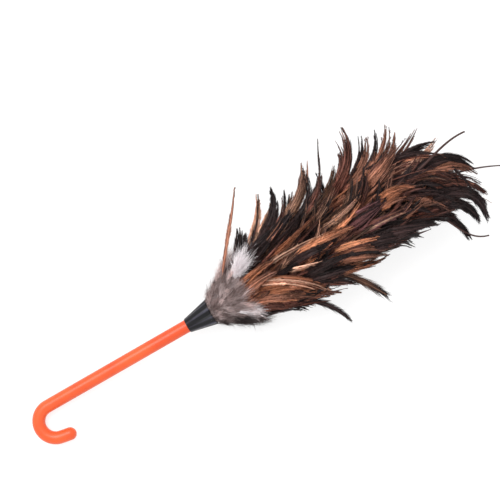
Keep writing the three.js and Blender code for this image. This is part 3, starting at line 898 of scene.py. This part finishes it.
def shingles():
    """Short locks that overlap all over the plume's top, each with its tip a little raised."""
    tips = []
    for x in np.arange(SHINGLE_FIRST_X, SHINGLE_LAST_X, SHINGLE_PITCH):
        low = -SHINGLE_SMOOTH_SHARE * np.interp(x, OUTLINE_X, SMOOTH_SIDE)
        high = SHINGLE_RUFFLED_SHARE * np.interp(x, OUTLINE_X, RUFFLED_SIDE)
        tips += [(x, y) for y in np.arange(low, high, SHINGLE_PITCH)]
    tips = np.array(tips) + rng.uniform(-0.5, 0.5, (len(tips), 2)) * SHINGLE_PITCH
    tips = tips[(tips[:, 0] > CHESTNUT_END_X) | (tips[:, 1] > 0)]
    lean = flow(tips[:, 0], tips[:, 1]) + rng.uniform(-0.3, 0.3, len(tips))
    length = np.minimum(rng.uniform(*SHINGLE_LENGTHS, len(tips)) * MM, tips[:, 0] - 2 * MM)
    tip_way = np.stack((np.cos(lean), np.sin(lean)), axis=-1)
    root_way = np.stack((np.cos(LEAN_AT_ROOT * lean), np.sin(LEAN_AT_ROOT * lean)), axis=-1)
    height = rng.uniform(*SHINGLE_HEIGHTS, len(tips))
    locks = []
    for tip, at_tip, at_root, long, high in zip(tips, tip_way, root_way, length, height):
        bend = within(tip - TIP_PART * long * at_tip, 0.8)
        root = within(bend - ROOT_PART * long * at_root, 0.5)
        line = path_through(np.array((root, (root + bend) / 2, bend, tip)) / MM)
        share = ROOT_SHARE + (high - ROOT_SHARE) * SHARES[0] ** 0.8
        locks.append(np.column_stack((line, share * top_height(line[:, 0], line[:, 1]))))
    locks = np.array(locks)
    kinds = np.array([top_kind(x, y) for x, y in tips])
    tier_of = np.clip(((tips[:, 0] - FIRST_TIER_TIPS_X) / HACKLE_PITCH).astype(int), 0, TIERS - 1)
    for tier in np.unique(tier_of):
        chosen = tier_of == tier
        add_locks(
            f"shingles_{tier + 1}", locks[chosen], kinds[chosen], tier_names(tier), 2,
            each=FEATHERS_PER_SHINGLE, spread=2.6 * MM, half_width=2.4 * MM, strays=0.15,
            wander=2.4 * MM, shortest=0.75,
        )


def plume():
    """All the hackles, from the rings at the rod to the locks on the top."""
    for tier in range(TIERS):
        hackle_tier(tier)
    tip_core()
    shingles()
    top_locks()


# ---------------------------------------- lone feathers

# Each stands clear of the plume: points in the duster's own axes (mm), half-width (mm, and 0 for a bare
# shaft), kind, and the shaft's half-thickness (mm).
LONE_FEATHERS = {
    "tan_feather": (((22, 18, 12), (36, 36, 18), (54, 58, 17), (73, 84, 14)), 2.8, "brown", 0.5),
    "spike_feather": (((110, 30, 14), (138, 50, 12), (146, 64, 10), (156, 84, 9)), 1.6, "black", 0.5),
    "ruffled_shaft": (((200, 14, 28), (232, 21, 31), (248, 25, 29), (268, 26, 24)), 0.0, "black", 1.7),
    "middle_shaft": (((230, 2, 16), (258, -5, 13), (281, -15, 8)), 0.0, "black", 1.3),
    "smooth_shaft": (((196, -15, 8), (214, -27, 6), (226, -50, 5), (242, -62, 4)), 0.0, "black", 1.5),
    "curled_feather_1": (((40, -18, 4), (76, -31, 4), (90, -44, 3), (102, -68, 1)), 4.6, "black", 0.5),
    "curled_feather_2": (((88, -16, 4), (118, -31, 5), (130, -46, 3), (140, -63, 2)), 7.0, "umber", 0.5),
}


def lone_feathers():
    """Each lone feather, as a piece of its own."""
    for name, (knots, half_width, kind, thick) in LONE_FEATHERS.items():
        path = laid_down(placed(path_through(knots)))[None]
        frames = blade_frames(path, np.zeros(1))
        colours = feather_colours([kind], 0)
        parts = [shafts(path, frames, np.array((thick * MM,)), colours, LONE_SHAFT_END)]
        if half_width:
            wide = np.array((half_width * MM,))
            length = np.linalg.norm(np.diff(path, axis=1), axis=-1).sum(axis=1)
            parts.append(blades(path, frames, length, wide, colours, LONE_BARE_SHARE))
        points, quads, tint = joined(parts)
        mesh_piece(name + "_blade", points, quads, HACKLE_MATERIAL, tint, (name,))


# ---------------------------------------- down

DOWN_STATIONS = 7
DOWN_WISPS = 700
DOWN_FIBRES = 34
DOWN_PIECES = 6
ROOT_SCATTER = 0.9 * MM
FIBRE_HALF_WIDTH = 0.13 * MM

# Where the wisps are: along the rod (mm), as a share of the plume's radius, and how long they are (mm).
DOWN_ROOTS = (-1, 32)
DOWN_DEPTHS = (0.6, 0.98)
DOWN_LENGTHS = (6, 12)

GREYS = ((174, 154, 151), (150, 130, 127), (116, 99, 96), (196, 178, 176))
WHITE = (250, 244, 246)

# White tufts among the grey down: middle of the roots and of the tips, spread of the tips (mm), wisps.
WHITE_TUFTS = (
    ((38, 19, 22), (52, 27, 28), (4, 3, 3), 50),
    ((27, -12, 19), (40, -18, 21), (3, 1.5, 2), 16),
)


def down_fibres(start, tip, colour):
    """Wisps of fine fibres from start to tip (wisps, 3), of one colour each: points and tint by wisp."""
    wisps = len(start)
    t = np.linspace(0, 1, DOWN_STATIONS)
    shape = (wisps, DOWN_FIBRES)
    reach = np.linalg.norm(tip - start, axis=-1)[:, None, None]
    bend = unit(rng.normal(0, 1, (wisps, 1, 3))) * rng.uniform(0.1, 0.55, (wisps, 1, 1)) * reach
    own_tip = (tip - start)[:, None] * rng.uniform(0.5, 1.1, (*shape, 1))
    own_tip = own_tip + rng.normal(0, 0.15, (*shape, 3)) * reach
    own_bend = bend + rng.normal(0, 0.16, (*shape, 3)) * reach
    own_start = start[:, None] + rng.normal(0, ROOT_SCATTER, (*shape, 3))
    curve = t[:, None] * own_tip[:, :, None] + (t * (t - 0.4))[:, None] * own_bend[:, :, None]
    spine = laid_down(placed(own_start[:, :, None] + curve))
    tangent = unit(np.gradient(spine, axis=2))
    across = unit(np.cross(tangent, unit(rng.normal(0, 1, (*shape, 1, 3)))))
    half = across * (FIBRE_HALF_WIDTH * (1 - 0.7 * t))[:, None]
    points = np.stack((spine - half, spine + half), axis=-2)
    tint = colour[:, None] * np.exp(rng.normal(0, 0.14, (*shape, 1)))
    return points, np.broadcast_to(tint[:, :, None, None, :], points.shape)


def down():
    """Soft wisps round the ferrule's mouth, and the white tufts among them."""
    angle = rng.uniform(0, 2 * math.pi, DOWN_WISPS)
    root_x = rng.uniform(*DOWN_ROOTS, DOWN_WISPS) * MM
    length = (rng.uniform(*DOWN_LENGTHS, DOWN_WISPS) + 0.2 * root_x / MM) * MM
    radius = plume_radius(root_x, angle) * rng.uniform(*DOWN_DEPTHS, DOWN_WISPS)
    start = np.stack((root_x, radius * np.cos(angle), radius * np.sin(angle)), axis=-1)
    outward = np.stack((np.zeros(DOWN_WISPS), np.cos(angle), np.sin(angle)), axis=-1)
    lean = rng.uniform(0.2, 0.8, DOWN_WISPS) + 0.3 * np.clip(np.cos(angle), 0, 1)
    direction = unit((1.0, 0.0, 0.0) + outward * lean[:, None] + rng.normal(0, 0.22, (DOWN_WISPS, 3)))
    tip = start + direction * length[:, None]
    grey = np.stack([linear(*screen) for screen in GREYS])[rng.integers(0, len(GREYS), DOWN_WISPS)]
    in_shade = np.interp(np.cos(angle), (-0.8, -0.45), (0.2, 1.0))
    shaded = in_shade * np.exp(rng.normal(0, 0.34, DOWN_WISPS))
    parts = [down_fibres(start, tip, grey * shaded[:, None])]
    for root_middle, tip_middle, spread, wisps in WHITE_TUFTS:
        start = (np.array(root_middle) + rng.normal(0, 2.0, (wisps, 3))) * MM
        tip = (np.array(tip_middle) + rng.normal(0, 1, (wisps, 3)) * spread) * MM
        parts.append(down_fibres(start, tip, np.tile(linear(*WHITE), (wisps, 1))))
    points = np.concatenate([part[0] for part in parts])
    tint = np.concatenate([part[1] for part in parts])
    for first in range(DOWN_PIECES):
        own = points[first::DOWN_PIECES]
        own_tint = tint[first::DOWN_PIECES].reshape(-1, 3)
        quads = grid_quads(len(own) * DOWN_FIBRES, DOWN_STATIONS, 2)
        name = f"down_{first + 1}"
        mesh_piece(name, own.reshape(-1, 3), quads, DOWN_MATERIAL, own_tint, ("down_collar",))


# ---------------------------------------- stage

FLOOR_HALF_SIZE = 6.0
FLOOR_COLOUR = (0.36, 0.36, 0.36, 1)
FLOOR_GLOW = 0.72


def stage():
    """A pale floor under the duster, which glows a little."""
    far = FLOOR_HALF_SIZE
    mesh = bpy.data.meshes.new("floor")
    mesh.from_pydata([(-far, -far, 0), (far, -far, 0), (far, far, 0), (-far, far, 0)], [], [(0, 1, 2, 3)])
    floor = bpy.data.objects.new("floor", mesh)
    bpy.context.scene.collection.objects.link(floor)
    matt = {"Roughness": 0.9, "Specular_IOR_Level": 0}
    glow = {"Emission_Color": (1, 1, 1, 1), "Emission_Strength": FLOOR_GLOW}
    material, _, _ = new_material("floor", Base_Color=FLOOR_COLOUR, **matt, **glow)
    mesh.materials.append(material)


KEY_SIZE = 0.9
KEY_POWER = 12
KEY_PLACE = Vector((-0.3, 0.7, 1.3))


def lights():
    """White light from everywhere, and a soft lamp from the ruffled side."""
    world = bpy.data.worlds.new("studio")
    bpy.context.scene.world = world
    world.use_nodes = True
    background = world.node_tree.nodes["Background"]
    background.inputs["Color"].default_value = (1, 1, 1, 1)
    background.inputs["Strength"].default_value = 1.0
    data = bpy.data.lights.new("key", "AREA")
    data.size = KEY_SIZE
    data.energy = KEY_POWER
    key = bpy.data.objects.new("key", data)
    key.location = KEY_PLACE
    key.rotation_euler = (-KEY_PLACE).to_track_quat("-Z", "Y").to_euler()
    bpy.context.scene.collection.objects.link(key)


VIEW_WIDTH = 435 * MM
VIEW_MIDDLE = (56.1 * MM, 30.0 * MM)
VIEW_HEIGHT = 30 * MM
VIEW_TURN = math.radians(30)
VIEW_DISTANCE = 2.0
SENSOR = 36.0


def camera():
    """Straight above the duster, and turned so that the duster lies aslant."""
    data = bpy.data.cameras.new("camera")
    data.sensor_width = SENSOR
    data.lens = SENSOR * VIEW_DISTANCE / VIEW_WIDTH
    made = bpy.data.objects.new("camera", data)
    target = placed(np.array((*VIEW_MIDDLE, 0.0)))
    made.location = (target[0], target[1], VIEW_DISTANCE + VIEW_HEIGHT)
    made.rotation_euler = (0, 0, -VIEW_TURN)
    bpy.context.scene.collection.objects.link(made)
    bpy.context.scene.camera = made


# Darkest and lightest screen colours of the CAD solids that show.
BAMBOO = ((150, 108, 70), (178, 134, 92))
THREAD = ((200, 192, 178), (226, 220, 208))


def cad_finish():
    """Materials for the CAD solids that nothing replaces: the rod and the threads."""
    for name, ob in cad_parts.items():
        if ob.hide_render:
            continue
        colours = BAMBOO if name == "core_rod" else THREAD
        material = mottled_material("cad_" + name, *colours, 220.0, Roughness=0.7)
        ob.data.materials.clear()
        ob.data.materials.append(material)


bpy.context.scene.view_settings.view_transform = "Standard"
handle()
ferrule()
down()
plume()
lone_feathers()
cad_finish()
stage()
lights()
camera()
